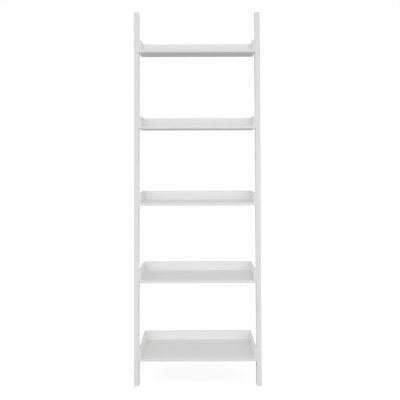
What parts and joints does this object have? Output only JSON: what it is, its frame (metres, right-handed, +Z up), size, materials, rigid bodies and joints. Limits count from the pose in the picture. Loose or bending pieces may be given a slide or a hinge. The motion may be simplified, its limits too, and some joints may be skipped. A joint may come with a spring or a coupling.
{
  "type": "ladder shelf",
  "caption": "White leaning ladder shelf: two slanting posts carry tray shelves that grow deeper towards the floor, with their back rails against the wall.",
  "frame": {"origin": "where the wall meets the floor, at the middle of the shelf's width", "axes": "+X to the right as seen from the front, +Y towards the wall, +Z up"},
  "size_m": [0.62, 0.3397, 1.815],
  "materials": {
    "white_lacquer": "satin white lacquer sprayed on fine fibreboard, with lightly eased edges",
    "bolt_steel": "bright zinc-plated steel",
    "beech_dowel": "plain beech, unfinished",
    "white_cap": "matt white moulded plastic",
    "felt_pad": "pressed pale grey felt"
  },
  "bodies": {
    "root": {"post_left": "white_lacquer", "post_right": "white_lacquer", "foot_pad_left": "felt_pad", "foot_pad_right": "felt_pad", "shelf_board_1": "white_lacquer", "back_rail_1": "white_lacquer", "side_panel_1_left": "white_lacquer", "rail_dowel_1_left": "beech_dowel", "tray_bolt_1_left_lower": "bolt_steel", "tray_bolt_1_left_upper": "bolt_steel", "side_panel_1_right": "white_lacquer", "rail_dowel_1_right": "beech_dowel", "tray_bolt_1_right_lower": "bolt_steel", "tray_bolt_1_right_upper": "bolt_steel", "shelf_board_2": "white_lacquer", "back_rail_2": "white_lacquer", "side_panel_2_left": "white_lacquer", "rail_dowel_2_left": "beech_dowel", "tray_bolt_2_left_lower": "bolt_steel", "tray_bolt_2_left_upper": "bolt_steel", "side_panel_2_right": "white_lacquer", "rail_dowel_2_right": "beech_dowel", "tray_bolt_2_right_lower": "bolt_steel", "tray_bolt_2_right_upper": "bolt_steel", "shelf_board_3": "white_lacquer", "back_rail_3": "white_lacquer", "side_panel_3_left": "white_lacquer", "rail_dowel_3_left": "beech_dowel", "tray_bolt_3_left_lower": "bolt_steel", "tray_bolt_3_left_upper": "bolt_steel", "side_panel_3_right": "white_lacquer", "rail_dowel_3_right": "beech_dowel", "tray_bolt_3_right_lower": "bolt_steel", "tray_bolt_3_right_upper": "bolt_steel", "shelf_board_4": "white_lacquer", "back_rail_4": "white_lacquer", "side_panel_4_left": "white_lacquer", "rail_dowel_4_left": "beech_dowel", "tray_bolt_4_left_lower": "bolt_steel", "tray_bolt_4_left_upper": "bolt_steel", "side_panel_4_right": "white_lacquer", "rail_dowel_4_right": "beech_dowel", "tray_bolt_4_right_lower": "bolt_steel", "tray_bolt_4_right_upper": "bolt_steel", "shelf_board_5": "white_lacquer", "back_rail_5": "white_lacquer", "side_panel_5_left": "white_lacquer", "rail_dowel_5_left": "beech_dowel", "tray_bolt_5_left_lower": "bolt_steel", "tray_bolt_5_left_upper": "bolt_steel", "side_panel_5_right": "white_lacquer", "rail_dowel_5_right": "beech_dowel", "tray_bolt_5_right_lower": "bolt_steel", "tray_bolt_5_right_upper": "bolt_steel", "wall_screw_cap_left": "white_cap", "wall_screw_cap_right": "white_cap"}
  },
  "joints": []
}
